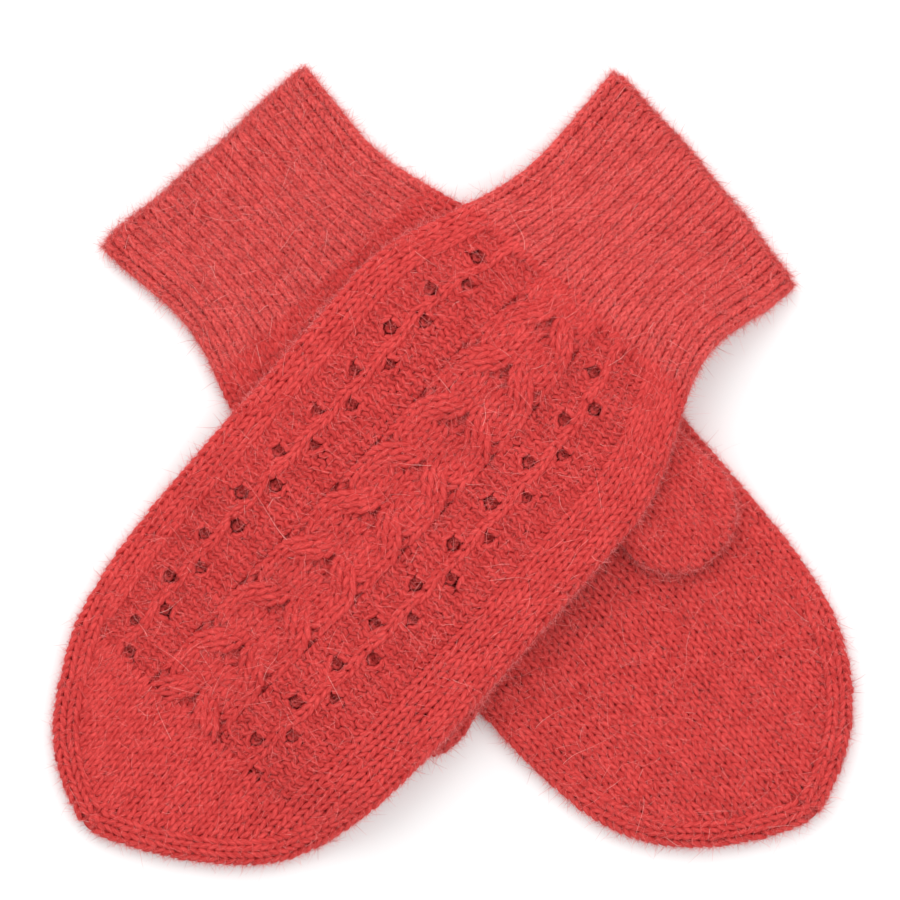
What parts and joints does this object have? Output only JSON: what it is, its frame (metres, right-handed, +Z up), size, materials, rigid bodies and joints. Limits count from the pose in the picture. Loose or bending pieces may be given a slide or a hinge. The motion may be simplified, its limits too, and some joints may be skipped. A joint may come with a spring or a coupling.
{
  "type": "knitted mittens",
  "caption": "Pair of knitted wool mittens lying flat and crossed: ribbed cuffs, cable and eyelet back, plain palm, folded-in thumbs.",
  "frame": {"origin": "on the surface that the pair lies on, at the middle of the pair's box", "axes": "+Z up, away from the surface; +Y from the fingertips towards the cuffs; +X from the left mitten's cuff towards the right mitten's cuff"},
  "size_m": [0.2328, 0.2332, 0.0187],
  "materials": {
    "coral_wool": "soft fluffy wool knit",
    "coral_rib_wool": "soft fluffy wool rib"
  },
  "bodies": {
    "left_hand": {"left_hand_back": "coral_wool", "left_hand_palm": "coral_wool", "left_fingertip_gather": "coral_wool", "left_thumb_gusset": "coral_wool"},
    "left_cuff": {"left_cuff_back": "coral_rib_wool", "left_cuff_palm": "coral_rib_wool", "left_cast_on_back": "coral_rib_wool", "left_cast_on_palm": "coral_rib_wool"},
    "left_thumb": {"left_thumb_inner": "coral_wool", "left_thumb_outer": "coral_wool"},
    "right_hand": {"right_hand_back": "coral_wool", "right_hand_palm": "coral_wool", "right_fingertip_gather": "coral_wool", "right_thumb_gusset": "coral_wool"},
    "right_cuff": {"right_cuff_back": "coral_rib_wool", "right_cuff_palm": "coral_rib_wool", "right_cast_on_back": "coral_rib_wool", "right_cast_on_palm": "coral_rib_wool"},
    "right_thumb": {"right_thumb_inner": "coral_wool", "right_thumb_outer": "coral_wool"}
  },
  "joints": [
    {"name": "left_cuff_fold", "type": "hinge", "parent": "left_hand", "child": "left_cuff", "pos_m": [-0.03855, 0.05393, 0.0066], "axis": [0.749, 0.6626, 0], "range_deg": [0, 75]},
    {"name": "left_thumb_swing", "type": "hinge", "parent": "left_hand", "child": "left_thumb", "pos_m": [0.03502, 0.01755, 0.0094], "axis": [0, 0, 1], "range_deg": [0, 25]},
    {"name": "right_hand_lift", "type": "slide", "parent": "left_hand", "child": "right_hand", "axis": [0, 0, 1], "range_m": [0, 0.08]},
    {"name": "right_cuff_fold", "type": "hinge", "parent": "right_hand", "child": "right_cuff", "pos_m": [0.03702, 0.04828, 0.019], "axis": [0.749, -0.6626, 0], "range_deg": [0, 75]},
    {"name": "right_thumb_swing", "type": "hinge", "parent": "right_hand", "child": "right_thumb", "pos_m": [0.01279, -0.03042, 0.0094], "axis": [0, 0, 1], "range_deg": [0, 25]}
  ]
}
